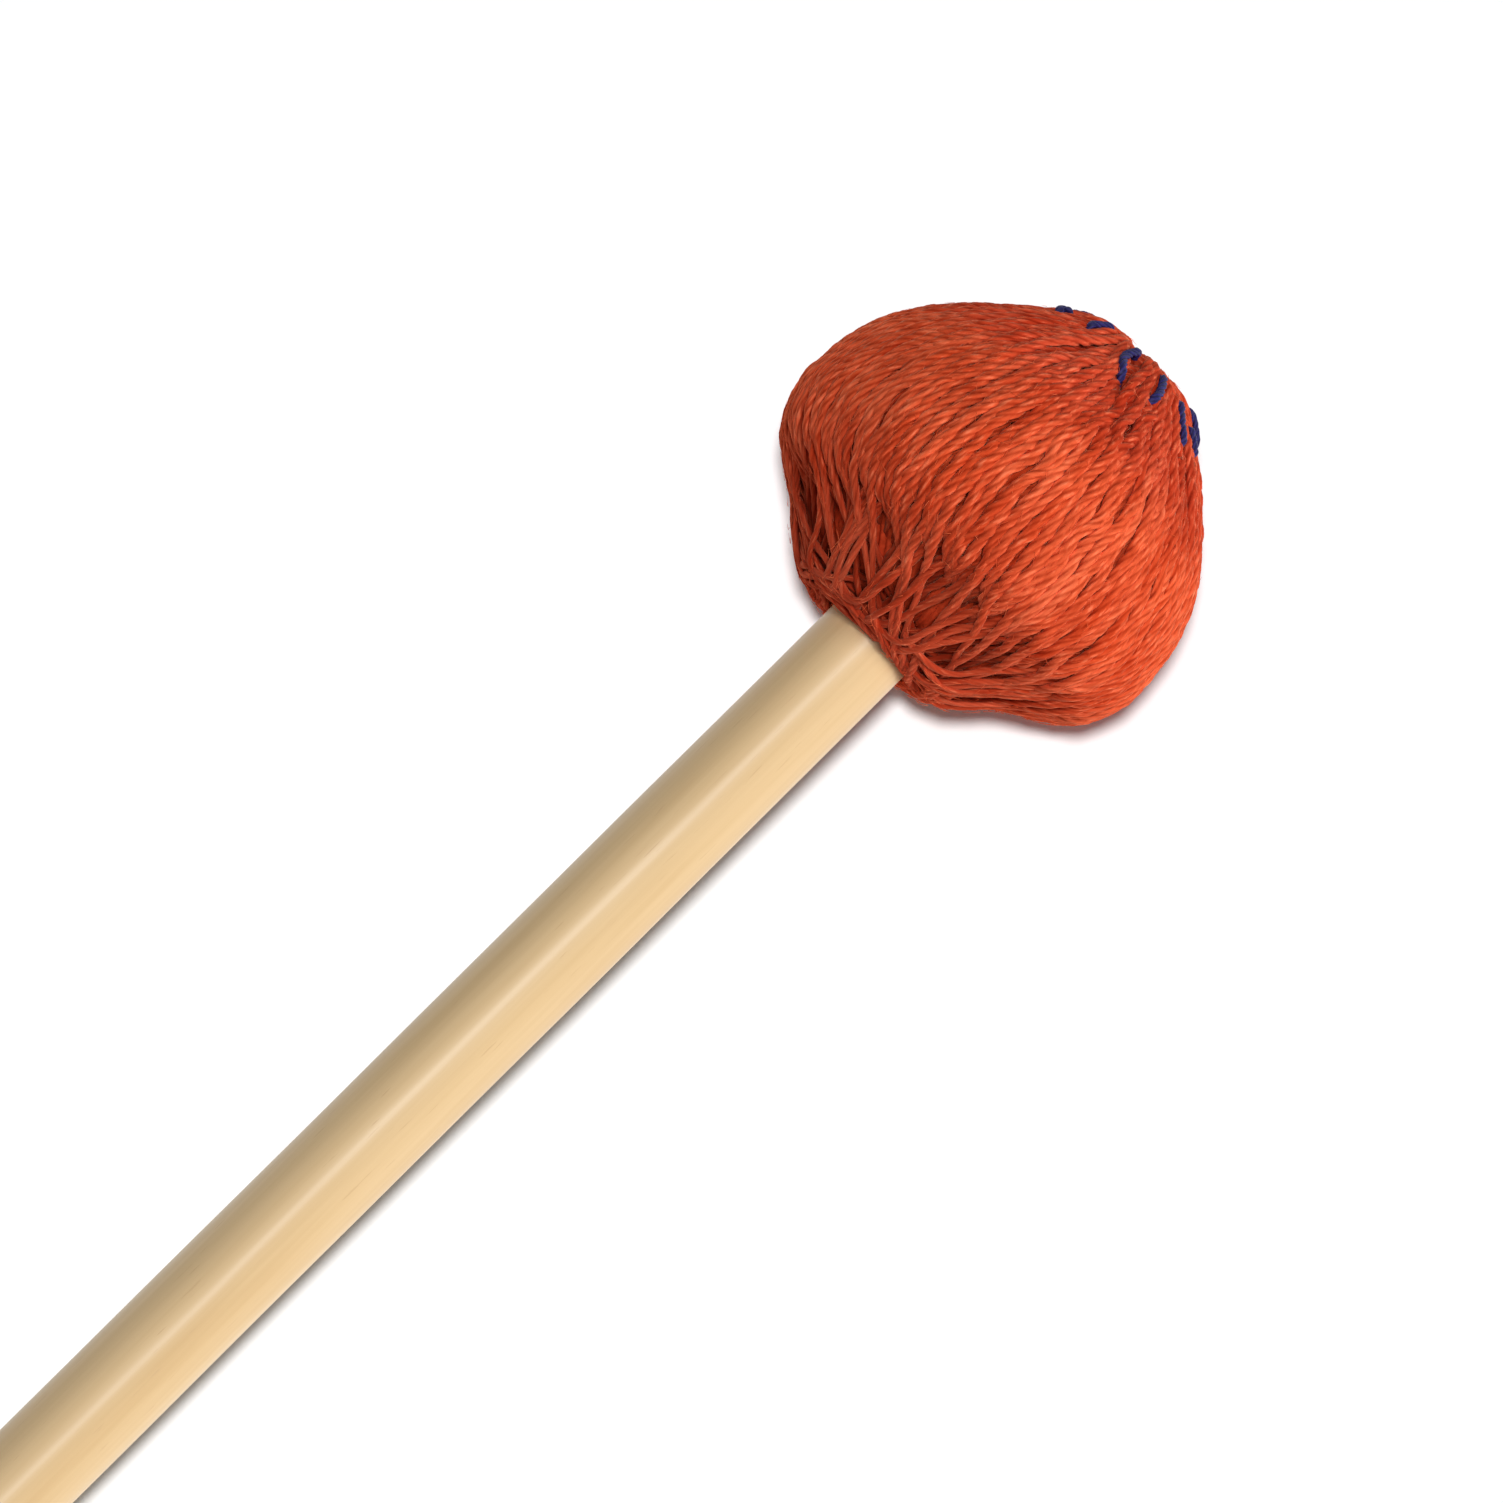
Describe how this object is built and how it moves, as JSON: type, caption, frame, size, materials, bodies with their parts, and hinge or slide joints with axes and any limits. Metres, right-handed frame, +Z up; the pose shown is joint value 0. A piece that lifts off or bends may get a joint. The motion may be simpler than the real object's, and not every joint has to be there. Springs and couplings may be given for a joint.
{
  "type": "keyboard mallet",
  "caption": "Keyboard mallet with a straight cane shaft glued into a rubber core, wound with cord from shaft to crown and stitched at the crown.",
  "frame": {"origin": "on the table under the middle of the lying mallet: centre of the bounding box in X and Y, lowest point in Z", "axes": "+X along the mallet from the butt of the shaft to the crown of the head, +Z up. The shaft's own axis rises about 2.2 degrees toward the head, because the mallet lies on its butt and on the belly of its head."},
  "size_m": [0.3958, 0.0362, 0.0361],
  "materials": {
    "rattan": "peeled cane under a thin satin lacquer",
    "adhesive": "cured epoxy, honey coloured",
    "core_rubber": "moulded, dull",
    "latex": "dipped latex, dull",
    "inner_cord": "packed two-ply cord",
    "orange_cord": "soft two-ply twisted cord with a slight sheen",
    "navy_thread": "twisted thread"
  },
  "bodies": {
    "root": {"rattan_shaft": "rattan", "adhesive_film": "adhesive", "rubber_core": "core_rubber", "latex_sleeve": "latex", "cord_inner_layers": "inner_cord", "cord_outer_layer": "orange_cord", "crown_stitching": "navy_thread"}
  },
  "joints": []
}
